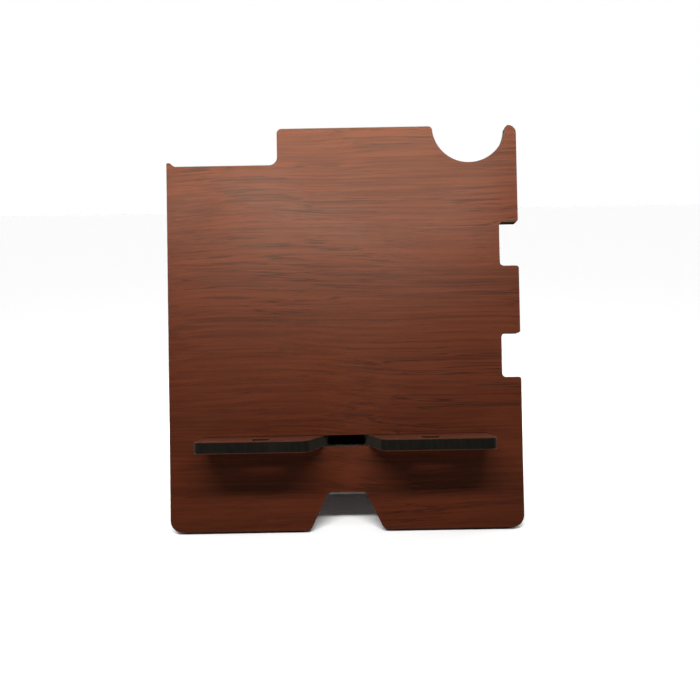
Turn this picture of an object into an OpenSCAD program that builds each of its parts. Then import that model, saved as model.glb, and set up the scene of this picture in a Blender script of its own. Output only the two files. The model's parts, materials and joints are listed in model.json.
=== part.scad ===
// Slot-together tablet stand: two laminated boards that lock at right angles.
// The front board leans back and carries the tablet. The shelf board passes through
// a slot in it: its two prongs hold the tablet and its long tail is the back leg.

/* [Boards] */
// Width of both boards
board_w = 260; // [260:1:300]
// Height of the front board, measured along its face
board_h = 297.6; // [290:0.2:340]
// Overall thickness of both boards, laminate included
board_t = 8; // [6:0.5:10]
// Thickness of the decorative laminate on each face
laminate_t = 0.5; // [0.3:0.1:0.8]
// Length of the shelf board from its prong tips to its tail
shelf_len = 260; // [230:1:300]
// Radius of the outer corners at the desk
corner_r = 9; // [2:0.5:12]

/* [Shelf prongs] */
// Height of the shelf slot's lower edge above the board's bottom edge
slot_low = 61.5; // [50:0.5:75]
// Play between the shelf board and the top of its slot
slot_play = 0.2; // [0.1:0.05:0.4]
// Reach of the prongs in front of the board
prong_reach = 40; // [36:1:55]
// Distance between the outer sides of the two prongs
prong_span = 207; // [190:1:220]
// Distance between the prong tips, where the gap between them is widest
gap_mouth = 51.6; // [44:0.2:60]
// Width of the gap between the prongs at its closed end
gap_end = 27; // [20:1:34]
// Depth of the gap's closed end behind the board's back
gap_behind = 4; // [2:0.5:10]
// Radius of the corners at the gap's closed end
gap_end_r = 4.5; // [2:0.5:6]
// Radius of the prongs' front corners
prong_r = 8; // [2:0.5:10]
// Radius of the shelf board's shoulders, where it widens behind the front board
shoulder_r = 4; // [2:0.5:6]

/* [Cable holes] */
// Distance of each cable hole's centre from the centre line
cable_x = 59.6; // [54:0.2:66]
// Width of the cable hole in each prong
cable_w = 12.2; // [9:0.2:16]
// Length of the cable hole, front to back
cable_l = 14; // [10:0.5:18]
// Distance of the cable hole from the front face of the board
cable_back = 17.3; // [12:0.1:20]
// Radius of the cable hole's corners
cable_r = 1.5; // [0.5:0.5:3]

/* [Cable arches] */
// Width of the arch in each ground edge, at its foot
arch_foot = 54; // [44:1:70]
// Width of the arch at its top
arch_top = 28; // [20:1:36]
// Height of the arch
arch_h = 27.7; // [20:0.1:34]
// Radius where the arch meets the ground edge
arch_foot_r = 6; // [2:0.5:8]
// Radius of the arch's upper corners
arch_top_r = 4.5; // [2:0.5:6]

/* [Top edge] */
// Depth of the rest cut into the left of the top edge
rest_depth = 27; // [20:0.1:34]
// Distance of the rest's inner wall from the board's centre line
rest_wall = 47.8; // [40:0.1:60]
// Radius at the top of the rest's inner wall
rest_top_r = 3.5; // [1:0.5:6]
// Radius where the rest's floor meets its inner wall
rest_inner_r = 6; // [2:0.5:10]
// Height of the small horn at the rest's open end
horn_h = 2.8; // [2:0.1:5]
// Width of that horn at its foot
horn_w = 5.6; // [4.8:0.1:8]
// Distance of the round cut-out's centre from the board's centre line
round_x = 94.8; // [85:0.1:95]
// Radius of the round cut-out
round_r = 27.2; // [22:0.1:27.5]
// Radius of the lead-in at the round cut-out's left
lead_r = 3; // [1:0.5:5]
// Size of the small flat that takes the point off the tip at the round cut-out's right
tip_flat = 1.6; // [1:0.1:1.9]
// Radius of the board's corner beside that tip
tip_r = 6; // [3:0.5:6]

/* [Side hook] */
// Height of the lower notch's bottom above the board's bottom edge
notch_low = 110.4; // [95:0.1:120]
// Height of each notch
notch_h = 32.4; // [26:0.1:36]
// Height of the hook left between the two notches
hook_h = 50; // [44:1:56]
// Depth of the notches
notch_depth = 14; // [8:1:20]
// Radius at the mouths of the notches
notch_mouth_r = 2; // [0.5:0.5:4]
// Radius of the notches' inner corners
notch_inner_r = 3; // [1:0.5:6]

/* [Hidden] */

// Turn in degrees between two points of a rounded corner
arc_step = 7.5;
// Strip at the ground edges where the laminate is sanded away
sanded = 2;
// Clearance at each side of the prongs in the slot
side_play = 0.2;
// Clearance between the shelf board's shoulders and the back of the front board
shoulder_play = 0.1;
// Slope and radii of the horn at the rest's open end
horn_slope = 3.2;
horn_foot_r = 4;
horn_tip_r = 0.6;
horn_back_r = 0.8;
// Length by which a cutting shape runs past the board
past = 1;

core_t = board_t - 2 * laminate_t;
slot_h = board_t + slot_play;
shelf_top = slot_low + board_t;
tail_d = shelf_len - prong_reach;
// The tail's lower arris and the front board's back arris stand on the same level
lean = atan((slot_low + laminate_t) / (tail_d - board_t + laminate_t));
lift = (board_t - laminate_t) * sin(lean);
// Depth range of the leaning stand on the desk, used to centre it on the origin
front_y = slot_low * sin(lean) - prong_reach * cos(lean);
back_y = shelf_top * sin(lean) + tail_d * cos(lean);
centre_y = (front_y + back_y) / 2;

laminate_colour = [0.42, 0.17, 0.11];
core_colour = [0.12, 0.11, 0.09];

// ---- outlines with rounded corners: each corner is [x, y, radius] ----

function unit(v) = v / norm(v);
function short_turn(a) = a > 180 ? a - 360 : a < -180 ? a + 360 : a;
function flat(corner) = [corner.x, corner.y];
function fixed(points) = [for (p = points) [p.x, p.y, 0]];
function after_first(list) = [for (i = [1:len(list) - 1]) list[i]];

function arc_points(centre, r, start, turn, step = arc_step) =
    let (steps = ceil(abs(turn) / step))
    [for (i = [0:steps]) centre + r * [cos(start + turn * i / steps), sin(start + turn * i / steps)]];

function corner_points(before, corner, after, r) =
    let (
        u = unit(before - corner),
        v = unit(after - corner),
        half = acos(u * v) / 2,
        centre = corner + unit(u + v) * r / sin(half),
        first = corner + u * r / tan(half) - centre,
        last = corner + v * r / tan(half) - centre,
        start = atan2(first.y, first.x)
    )
    arc_points(centre, r, start, short_turn(atan2(last.y, last.x) - start));

function rounded(path) =
    let (n = len(path))
    [
        for (i = [0:n - 1])
        each (path[i].z == 0 ? [flat(path[i])] :
            corner_points(flat(path[(i + n - 1) % n]), flat(path[i]), flat(path[(i + 1) % n]), path[i].z))
    ];

// A cable arch, as the corners met while going right along a ground edge at height y
function arch(y, up) = [
    [-arch_foot / 2, y, arch_foot_r],
    [-arch_top / 2, y + up * arch_h, arch_top_r],
    [arch_top / 2, y + up * arch_h, arch_top_r],
    [arch_foot / 2, y, arch_foot_r]
];
function reversed(list) = [for (i = [len(list) - 1:-1:0]) list[i]];

// One notch in the right edge, from its lower to its upper corner
function notch(low) = [
    [board_w / 2, low, notch_mouth_r],
    [board_w / 2 - notch_depth, low, notch_inner_r],
    [board_w / 2 - notch_depth, low + notch_h, notch_inner_r],
    [board_w / 2, low + notch_h, notch_mouth_r]
];

// ---- front board, drawn upright: X is across, Y is up the face ----

// The long rest, its inner wall and the horn that stops things rolling off its open end
function left_rest() =
    let (
        floor_y = board_h - rest_depth,
        horn_foot = -board_w / 2 + horn_w
    )
    [
        [-rest_wall, board_h, rest_top_r],
        [-rest_wall, floor_y, rest_inner_r],
        [horn_foot, floor_y, horn_foot_r],
        [horn_foot - horn_slope, floor_y + horn_h, horn_tip_r],
        [-board_w / 2, floor_y + horn_h, horn_back_r]
    ];

// The half-round cut-out, met from the tip on its right to the lead-in on its left
function round_cutout() =
    let (
        centre = [round_x, board_h],
        tip = asin(tip_flat / round_r),
        meet = asin(lead_r / (round_r + lead_r)),
        lead_centre = centre - (round_r + lead_r) * [cos(meet), sin(meet)]
    )
    [
        [round_x + round_r + tip_flat, board_h, 0],
        each fixed(arc_points(centre, round_r, -tip, tip + meet - 180, arc_step / 2)),
        each fixed(after_first(arc_points(lead_centre, lead_r, meet, 90 - meet)))
    ];

front_path = concat(
    [[-board_w / 2, 0, corner_r]],
    arch(0, 1),
    [[board_w / 2, 0, corner_r]],
    notch(notch_low),
    notch(notch_low + notch_h + hook_h),
    [[board_w / 2, board_h, tip_r]],
    round_cutout(),
    left_rest()
);

module front_outline() {
    difference() {
        polygon(rounded(front_path));
        translate([-prong_span / 2 - side_play, slot_low])
            square([prong_span + 2 * side_play, slot_h]);
    }
}

// ---- shelf board, drawn flat: X is across, Y is the depth behind the front face ----

shoulder_d = board_t + shoulder_play;

shelf_path = concat(
    [
        [-prong_span / 2, -prong_reach, prong_r],
        [-gap_mouth / 2, -prong_reach, prong_r],
        [-gap_end / 2, board_t + gap_behind, gap_end_r],
        [gap_end / 2, board_t + gap_behind, gap_end_r],
        [gap_mouth / 2, -prong_reach, prong_r],
        [prong_span / 2, -prong_reach, prong_r],
        [prong_span / 2, shoulder_d, 0],
        [board_w / 2, shoulder_d, shoulder_r],
        [board_w / 2, tail_d, corner_r]
    ],
    reversed(arch(tail_d, -1)),
    [
        [-board_w / 2, tail_d, corner_r],
        [-board_w / 2, shoulder_d, shoulder_r],
        [-prong_span / 2, shoulder_d, 0]
    ]
);

module cable_hole(side) {
    middle = side * cable_x;
    near = -cable_back;
    far = -cable_back - cable_l;
    polygon(rounded([
        [middle - cable_w / 2, far, cable_r],
        [middle + cable_w / 2, far, cable_r],
        [middle + cable_w / 2, near, cable_r],
        [middle - cable_w / 2, near, cable_r]
    ]));
}

module shelf_outline() {
    difference() {
        polygon(rounded(shelf_path));
        cable_hole(-1);
        cable_hole(1);
    }
}

// ---- placing ----

// Leans the upright stand back on its ground edges and centres it on the origin
module leaning() {
    translate([0, -centre_y, lift])
        rotate([-lean, 0, 0])
            children();
}

// One layer of the front board: depth is its distance behind the front face
module front_layer(depth, thickness, trim = 0) {
    leaning()
        translate([0, depth, 0])
            rotate([90, 0, 0])
                translate([0, 0, -thickness])
                    linear_extrude(thickness)
                        difference() {
                            front_outline();
                            translate([-board_w, -past])
                                square([2 * board_w, past + trim]);
                        }
}

// One layer of the shelf board: height is its underside above the board's bottom edge
module shelf_layer(height, thickness, trim = 0) {
    leaning()
        translate([0, 0, height])
            linear_extrude(thickness)
                difference() {
                    shelf_outline();
                    translate([-board_w, tail_d - trim])
                        square([2 * board_w, past + trim]);
                }
}

module front_board_core() {
    color(core_colour)
        front_layer(laminate_t, core_t);
}

module front_board_face_laminate() {
    color(laminate_colour)
        front_layer(0, laminate_t);
}

module front_board_back_laminate() {
    color(laminate_colour)
        front_layer(board_t - laminate_t, laminate_t, sanded);
}

module shelf_board_core() {
    color(core_colour)
        shelf_layer(slot_low + laminate_t, core_t);
}

module shelf_board_top_laminate() {
    color(laminate_colour)
        shelf_layer(shelf_top - laminate_t, laminate_t);
}

module shelf_board_underside_laminate() {
    color(laminate_colour)
        shelf_layer(slot_low, laminate_t, sanded);
}

front_board_core();
front_board_face_laminate();
front_board_back_laminate();
shelf_board_core();
shelf_board_top_laminate();
shelf_board_underside_laminate();
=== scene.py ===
import json
import math

import bpy
from mathutils import Matrix, Vector

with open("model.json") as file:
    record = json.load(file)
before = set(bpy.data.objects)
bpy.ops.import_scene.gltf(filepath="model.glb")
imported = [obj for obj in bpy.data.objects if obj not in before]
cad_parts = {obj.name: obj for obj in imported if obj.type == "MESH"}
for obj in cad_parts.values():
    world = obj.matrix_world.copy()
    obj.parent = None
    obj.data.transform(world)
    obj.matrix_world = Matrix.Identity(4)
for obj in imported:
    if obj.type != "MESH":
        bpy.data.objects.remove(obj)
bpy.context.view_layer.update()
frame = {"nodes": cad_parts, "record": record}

# The leaning front board's own directions. The prong tops are square to its face, so they face up
# along it.
mounts = {m["name"]: m for m in frame["record"]["mounts"]}
ACROSS = Vector((1, 0, 0))
UP = Vector(mounts["left_prong_top"]["axis"])
OUT = Vector(mounts["front_face"]["axis"])
FACE = Vector(mounts["front_face"]["pos_m"])
LEAN = math.atan2(UP.y, UP.z)

# The Mix node's colour sockets share their names with its number sockets, so they are taken by place
MIX_FIRST = 6
MIX_SECOND = 7
MIX_RESULT = 2
BEVEL_SAMPLES = 6


def from_face(across, up, out):
    """The point this far across, up and out from the front face's mount, in metres."""
    return FACE + ACROSS * across + UP * up + OUT * out


def colour(red, green, blue):
    return (red, green, blue, 1.0)


WHITE = colour(1.0, 1.0, 1.0)


# ---- camera ----

CAMERA_PLACE = from_face(0.008, -0.0623, 0.4645)
# How far the view tips up from square-on to the front face
CAMERA_TIP = math.radians(1.02)
CAMERA_ROLL = math.radians(-1.0)
# In millimetres, on a 36 mm sensor
CAMERA_LENS = 32.39
CAMERA_SHIFT_X = -0.0083
CAMERA_SHIFT_Y = 0.0314
CAMERA_CLIP_START = 0.01


def make_camera():
    data = bpy.data.cameras.new("camera")
    data.lens = CAMERA_LENS
    data.shift_x = CAMERA_SHIFT_X
    data.shift_y = CAMERA_SHIFT_Y
    data.clip_start = CAMERA_CLIP_START
    camera = bpy.data.objects.new("camera", data)
    bpy.context.scene.collection.objects.link(camera)
    forward = UP * math.sin(CAMERA_TIP) - OUT * math.cos(CAMERA_TIP)
    top = ACROSS.cross(forward)
    turn = Matrix((ACROSS, top, -forward)).transposed() @ Matrix.Rotation(CAMERA_ROLL, 3, "Z")
    camera.matrix_world = Matrix.Translation(CAMERA_PLACE) @ turn.to_4x4()
    bpy.context.scene.camera = camera


# ---- lights and floor ----

# Two light strips run across above the stand: one well in front of it, one nearly over its top edge.
# Their powers are in watts and their spreads in degrees.
FRONT_STRIP = {
    "place": from_face(-0.03, 0.171, 0.35),
    "aim": from_face(-0.03, -0.06, 0),
    "power": 2.85,
    "tint": (1.0, 1.0, 1.0),
    "spread": 180,
}
TOP_STRIP = {
    "place": from_face(-0.03, 0.31, 0.18),
    "aim": from_face(-0.03, 0.125, 0),
    "power": 0.47,
    "tint": (1.0, 1.0, 0.88),
    "spread": 48,
}
STRIP_WIDTH = 0.45
STRIP_HEIGHT = 0.05
# The room's strength behind the stand and before it, and the directions' y between which it changes
WALL_BEHIND = 2.4
WALL_BEFORE = 0.05
WALL_CHANGE_START = -0.05
WALL_CHANGE_END = 0.4
FLOOR_SIZE = 30
# The floor is white paper, overexposed in the picture: it throws back less light than it shows
FLOOR_BOUNCE = colour(0.5, 0.5, 0.5)


def make_strip(name, place, aim, power, tint, spread):
    """A long light strip across the stand, aimed at the front board."""
    data = bpy.data.lights.new(name, "AREA")
    data.color = tint
    data.shape = "RECTANGLE"
    data.size = STRIP_WIDTH
    data.size_y = STRIP_HEIGHT
    data.energy = power
    data.spread = math.radians(spread)
    light = bpy.data.objects.new(name, data)
    bpy.context.scene.collection.objects.link(light)
    light.location = place
    light.rotation_mode = "QUATERNION"
    light.rotation_quaternion = (aim - place).to_track_quat("-Z", "Y")
    light.visible_camera = False


def make_sky():
    """A white room behind the stand and a dim one in front; the camera sees plain white."""
    world = bpy.data.worlds.new("photo_box")
    world.use_nodes = True
    bpy.context.scene.world = world
    tree = world.node_tree
    tree.nodes.clear()
    coords = tree.nodes.new("ShaderNodeTexCoord")
    split = tree.nodes.new("ShaderNodeSeparateXYZ")
    tree.links.new(coords.outputs["Generated"], split.inputs["Vector"])
    ramp = tree.nodes.new("ShaderNodeMapRange")
    ramp.interpolation_type = "SMOOTHSTEP"
    ramp.inputs["From Min"].default_value = WALL_CHANGE_START
    ramp.inputs["From Max"].default_value = WALL_CHANGE_END
    ramp.inputs["To Min"].default_value = WALL_BEFORE
    ramp.inputs["To Max"].default_value = WALL_BEHIND
    tree.links.new(split.outputs["Y"], ramp.inputs["Value"])
    room = tree.nodes.new("ShaderNodeBackground")
    room.inputs["Color"].default_value = WHITE
    tree.links.new(ramp.outputs["Result"], room.inputs["Strength"])
    backdrop = tree.nodes.new("ShaderNodeBackground")
    backdrop.inputs["Color"].default_value = WHITE
    rays = tree.nodes.new("ShaderNodeLightPath")
    mix = tree.nodes.new("ShaderNodeMixShader")
    share, seen_by_light, seen_by_camera = mix.inputs
    tree.links.new(rays.outputs["Is Camera Ray"], share)
    tree.links.new(room.outputs["Background"], seen_by_light)
    tree.links.new(backdrop.outputs["Background"], seen_by_camera)
    output = tree.nodes.new("ShaderNodeOutputWorld")
    tree.links.new(mix.outputs["Shader"], output.inputs["Surface"])


def paper():
    material = bpy.data.materials.new("floor_paper")
    material.use_nodes = True
    tree = material.node_tree
    rays = tree.nodes.new("ShaderNodeLightPath")
    white = tree.nodes.new("ShaderNodeMix")
    white.data_type = "RGBA"
    white.inputs[MIX_FIRST].default_value = FLOOR_BOUNCE
    white.inputs[MIX_SECOND].default_value = WHITE
    tree.links.new(rays.outputs["Is Camera Ray"], white.inputs["Factor"])
    surface = tree.nodes["Principled BSDF"]
    tree.links.new(white.outputs[MIX_RESULT], surface.inputs["Base Color"])
    surface.inputs["Roughness"].default_value = 1
    surface.inputs["Specular IOR Level"].default_value = 0
    return material


def make_floor():
    half = FLOOR_SIZE / 2
    mesh = bpy.data.meshes.new("floor")
    corners = [(-half, -half, 0), (half, -half, 0), (half, half, 0), (-half, half, 0)]
    mesh.from_pydata(corners, [], [(0, 1, 2, 3)])
    mesh.materials.append(paper())
    floor = bpy.data.objects.new("floor", mesh)
    bpy.context.scene.collection.objects.link(floor)


# ---- shader building blocks ----


class Shader:
    """A material's node tree, with short names for the nodes that the finishes use."""

    def __init__(self, name, surface):
        """Takes the surface values that are the same all over, by their sockets' names."""
        self.material = bpy.data.materials.new(name)
        self.material.use_nodes = True
        self.tree = self.material.node_tree
        self.surface = self.tree.nodes["Principled BSDF"]
        for key, value in surface.items():
            self.surface.inputs[key].default_value = value
        self.place = self.board_place()

    def node(self, kind, settings=None, **inputs):
        made = self.tree.nodes.new("ShaderNode" + kind)
        for key, value in (settings or {}).items():
            setattr(made, key, value)
        for key, value in inputs.items():
            self.feed(value, made.inputs[key.replace("_", " ")])
        return made

    def feed(self, value, socket):
        if isinstance(value, bpy.types.NodeSocket):
            self.tree.links.new(value, socket)
        else:
            socket.default_value = value

    def board_place(self):
        """Where a point is on the leaning stand: across, behind the face, up the face."""
        coords = self.node("TexCoord")
        turned = self.node("Mapping", Vector=coords.outputs["Object"], Rotation=(LEAN, 0, 0))
        return turned.outputs["Vector"]

    def math(self, operation, first, second=0.0):
        made = self.node("Math", {"operation": operation})
        self.feed(first, made.inputs[0])
        self.feed(second, made.inputs[1])
        return made.outputs["Value"]

    def vector_math(self, operation, first, second, result="Vector"):
        made = self.node("VectorMath", {"operation": operation})
        self.feed(first, made.inputs[0])
        self.feed(second, made.inputs[1])
        return made.outputs[result]

    def noise(self, scale, detail, rough=0.5, vector=None, move=(0, 0, 0)):
        """Noise whose cells measure 1 / scale metres in each direction of the board."""
        scaled = self.node("Mapping", Vector=vector or self.place, Scale=scale, Location=move)
        made = self.node(
            "TexNoise", Vector=scaled.outputs["Vector"], Scale=1.0, Detail=detail, Roughness=rough
        )
        return made.outputs["Fac"]

    def ramp(self, value, low, high, to_low=0.0, to_high=1.0):
        """Goes smoothly from to_low to to_high as the value goes from low to high."""
        made = self.node("MapRange", {"interpolation_type": "SMOOTHSTEP"}, Value=value)
        made.inputs["From Min"].default_value = low
        made.inputs["From Max"].default_value = high
        made.inputs["To Min"].default_value = to_low
        made.inputs["To Max"].default_value = to_high
        return made.outputs["Result"]

    def near_edge(self, reach):
        """Rises from 0 to 1 within this distance of a piece's arrises."""
        rounded = self.node("Bevel", {"samples": BEVEL_SAMPLES}, Radius=reach)
        facing = self.node("NewGeometry")
        agree = self.vector_math(
            "DOT_PRODUCT", rounded.outputs["Normal"], facing.outputs["Normal"], "Value"
        )
        return self.math("SUBTRACT", 1.0, agree)

    def mix(self, share, first, second):
        made = self.node("Mix", {"data_type": "RGBA"})
        self.feed(share, made.inputs["Factor"])
        self.feed(first, made.inputs[MIX_FIRST])
        self.feed(second, made.inputs[MIX_SECOND])
        return made.outputs[MIX_RESULT]

    def cover(self, tone, mask, share, paint):
        """Covers the tone with this share of a paint wherever the mask is high."""
        return self.mix(self.math("MULTIPLY", mask, share), tone, paint)

    def bump(self, height, distance, strength):
        made = self.node("Bump", Height=height, Distance=distance, Strength=strength)
        self.tree.links.new(made.outputs["Normal"], self.surface.inputs["Normal"])


# ---- the laminate ----

LAMINATE_SURFACE = {
    "Specular IOR Level": 0.17,
    "Specular Tint": colour(1.0, 0.90, 0.71),
    "Sheen Weight": 0.15,
    "Sheen Roughness": 0.22,
    "Sheen Tint": colour(1.0, 0.82, 0.68),
}
BAND_DARK = colour(0.042, 0.0078, 0.0024)
BAND_LIGHT = colour(0.066, 0.0121, 0.0037)
STRAND_PAINT = colour(0.094, 0.0189, 0.0061)
FIBRE_PAINT = colour(0.090, 0.0180, 0.0057)
LINE_PAINT = colour(0.018, 0.0042, 0.0021)
PORE_PAINT = colour(0.018, 0.0048, 0.0026)
SCORCH_PAINT = colour(0.012, 0.007, 0.0045)
STRAND_SHARE = 0.50
FIBRE_SHARE = 0.34
PORE_SHARE = 0.35
# The growth lines come and go along the board, between these shares
LINE_SHARE_LEAST = 0.18
LINE_SHARE_MOST = 0.78
# How far from the growth noise's middle a line reaches
LINE_WIDTH = 0.03
# How far the figure may wander, from its lowest to its highest, in metres
SWAY = 0.028
# How far in from an arris the face is scorched, in metres, and how much rougher it is there
SCORCH_REACH = 0.0006
SCORCH_ROUGHENS = 0.5
SATIN_SMOOTHEST = 0.39
SATIN_ROUGHEST = 0.48
ROUGHNESS_MOST = 0.95
# What fibres raise and pores sink, as shares of the relief's depth in metres
FIBRE_RELIEF = 0.35
PORE_RELIEF = -0.8
GRAIN_DEPTH = 0.00005
GRAIN_STRENGTH = 0.5


def swaying_place(wood):
    """The place on the board, moved slowly up and down so that the figure isn't straight."""
    sway = wood.noise((5, 7, 7), detail=1)
    sway = wood.math("MULTIPLY", wood.math("SUBTRACT", sway, 0.5), SWAY)
    shift = wood.node("CombineXYZ", Y=sway, Z=sway)
    return wood.vector_math("ADD", wood.place, shift.outputs["Vector"])


def wood_laminate():
    """Dark red wood-grain laminate: the grain runs across, in fine fibres, pores and slow waves."""
    wood = Shader("red_wood_laminate", LAMINATE_SURFACE)
    wavy = swaying_place(wood)
    # The layers of the figure, from coarse to fine, each moved so that they don't repeat one another
    bands = wood.noise((2.2, 50, 50), detail=3, vector=wavy)
    growth = wood.noise((3.2, 220, 220), detail=3, vector=wavy, move=(3, 7, 7))
    strands = wood.noise((9, 420, 420), detail=2, vector=wavy, move=(1, 4, 4))
    fibres = wood.noise((22, 1100, 1100), detail=3, rough=0.6, vector=wavy)
    pores = wood.noise((75, 2300, 2300), detail=1, vector=wavy, move=(5, 1, 1))
    from_middle = wood.math("ABSOLUTE", wood.math("SUBTRACT", growth, 0.5))
    lines = wood.ramp(from_middle, 0.0, LINE_WIDTH, 1.0, 0.0)
    clearness = wood.noise((7, 30, 30), detail=1, vector=wavy, move=(8, 2, 2))
    line_share = wood.ramp(clearness, 0.4, 0.65, LINE_SHARE_LEAST, LINE_SHARE_MOST)

    tone = wood.mix(wood.ramp(bands, 0.3, 0.7), BAND_DARK, BAND_LIGHT)
    tone = wood.cover(tone, wood.ramp(strands, 0.38, 0.66), STRAND_SHARE, STRAND_PAINT)
    tone = wood.cover(tone, wood.ramp(fibres, 0.35, 0.7), FIBRE_SHARE, FIBRE_PAINT)
    tone = wood.cover(tone, lines, line_share, LINE_PAINT)
    tone = wood.cover(tone, wood.ramp(pores, 0.60, 0.70), PORE_SHARE, PORE_PAINT)
    # The cut edge is scorched, and the scorch shows as a thin dark line round every face
    scorch = wood.near_edge(SCORCH_REACH)
    tone = wood.mix(wood.ramp(scorch, 0.02, 0.25), tone, SCORCH_PAINT)
    wood.feed(tone, wood.surface.inputs["Base Color"])

    # Handling leaves slow patches of slightly different sheen
    smudges = wood.noise((14, 14, 14), detail=3)
    satin = wood.ramp(smudges, 0.3, 0.7, SATIN_SMOOTHEST, SATIN_ROUGHEST)
    matte = wood.math("MULTIPLY", wood.ramp(scorch, 0.02, 0.2), SCORCH_ROUGHENS)
    roughness = wood.math("MINIMUM", wood.math("ADD", satin, matte), ROUGHNESS_MOST)
    wood.feed(roughness, wood.surface.inputs["Roughness"])

    raised = wood.math("MULTIPLY", fibres, FIBRE_RELIEF)
    sunk = wood.math("MULTIPLY", wood.ramp(pores, 0.58, 0.7), PORE_RELIEF)
    wood.bump(wood.math("ADD", raised, sunk), GRAIN_DEPTH, GRAIN_STRENGTH)
    return wood.material


# ---- the charred edges ----

CHAR_SURFACE = {
    "Roughness": 0.8,
    "Specular IOR Level": 0.05,
    "Sheen Weight": 0.05,
    "Sheen Roughness": 0.36,
    "Sheen Tint": colour(1.0, 0.88, 0.72),
}
CHAR_DARK = colour(0.0036, 0.0034, 0.0024)
CHAR_LIGHT = colour(0.0074, 0.0067, 0.0046)
CHAR_BROWN = colour(0.013, 0.0090, 0.0054)
BROWN_SHARE = 0.35
STREAK_DEPTH = 0.00012
STREAK_STRENGTH = 0.5
# Streaks per metre: fine along an edge, long through the board's thickness
FINE_STREAKS = 1500
LONG_STREAKS = 90


def charred_edge(name, streak_scale):
    """Fibreboard cut by a laser: a dark olive char with fine streaks through the board's thickness."""
    char = Shader(name, CHAR_SURFACE)
    streaks = char.noise(streak_scale, detail=3, rough=0.6)
    patches = char.noise((45, 45, 45), detail=2)
    tone = char.mix(char.ramp(streaks, 0.3, 0.7), CHAR_DARK, CHAR_LIGHT)
    tone = char.cover(tone, char.ramp(patches, 0.5, 0.75), BROWN_SHARE, CHAR_BROWN)
    char.feed(tone, char.surface.inputs["Base Color"])
    char.bump(streaks, STREAK_DEPTH, STREAK_STRENGTH)
    return char.material


# ---- the pieces ----

# How far the arrises are eased, in metres
LAMINATE_EASE = 0.00015
CORE_EASE = 0.00005
EASE_SEGMENTS = 2
WELD_DISTANCE = 0.00001
# Faces that turn less than the first angle are one face, and edges sharper than the second are eased
SAME_FACE_ANGLE = math.radians(1)
SHARP_ANGLE = math.radians(40)


def soften_edges(piece, width):
    """Joins the imported faces into whole ones and eases the piece's sharp arrises."""
    weld = piece.modifiers.new("weld", "WELD")
    weld.merge_threshold = WELD_DISTANCE
    merge = piece.modifiers.new("whole_faces", "DECIMATE")
    merge.decimate_type = "DISSOLVE"
    merge.angle_limit = SAME_FACE_ANGLE
    bevel = piece.modifiers.new("eased_arris", "BEVEL")
    bevel.width = width
    bevel.segments = EASE_SEGMENTS
    bevel.limit_method = "ANGLE"
    bevel.angle_limit = SHARP_ANGLE
    piece.modifiers.new("even_shading", "WEIGHTED_NORMAL")


def finish_node(name, material, ease):
    piece = frame["nodes"][name]
    piece.data.materials.clear()
    piece.data.materials.append(material)
    soften_edges(piece, ease)


def finish_boards():
    laminate = wood_laminate()
    for name in frame["nodes"]:
        if name.endswith("_laminate"):
            finish_node(name, laminate, LAMINATE_EASE)
    # The front board's thickness runs along its second direction, the shelf board's along its third
    front_char = charred_edge("front_edge_char", (FINE_STREAKS, LONG_STREAKS, FINE_STREAKS))
    shelf_char = charred_edge("shelf_edge_char", (FINE_STREAKS, FINE_STREAKS, LONG_STREAKS))
    finish_node("front_board_core", front_char, CORE_EASE)
    finish_node("shelf_board_core", shelf_char, CORE_EASE)


make_camera()
make_strip("front_strip", **FRONT_STRIP)
make_strip("top_strip", **TOP_STRIP)
make_sky()
make_floor()
finish_boards()
bpy.context.scene.view_settings.view_transform = "Standard"
